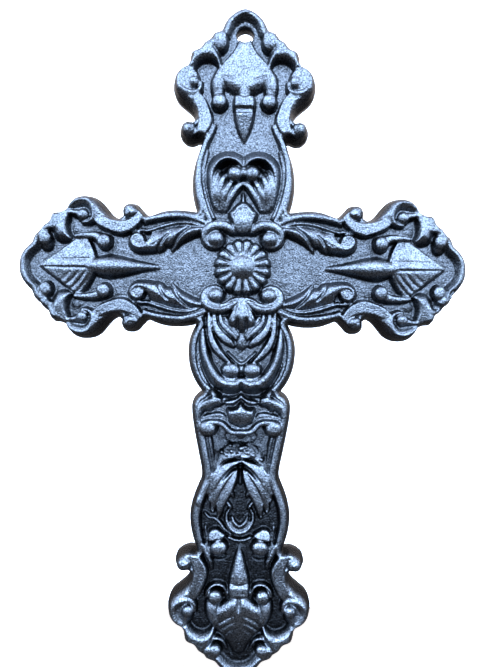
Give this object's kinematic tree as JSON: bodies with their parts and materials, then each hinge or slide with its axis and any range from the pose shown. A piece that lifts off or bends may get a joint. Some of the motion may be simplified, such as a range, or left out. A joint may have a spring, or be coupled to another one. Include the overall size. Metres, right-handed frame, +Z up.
{
  "type": "wall cross",
  "caption": "Ornate cast iron wall cross with scrolled ends, leaf relief and a rosette at the crossing, a flat back and a hanging hole at the top.",
  "frame": {"origin": "centre of the hanging hole, on the plane of the flat back", "axes": "+Z up along the shaft, +X to the right seen from the front, +Y into the wall: the relief faces -Y and the back lies on Y = 0"},
  "size_m": [0.206, 0.0129, 0.3059],
  "materials": {
    "cast_iron": "sand-cast iron under thin blue-grey metallic paint"
  },
  "bodies": {
    "root": {"cross_casting": "cast_iron"}
  },
  "joints": []
}
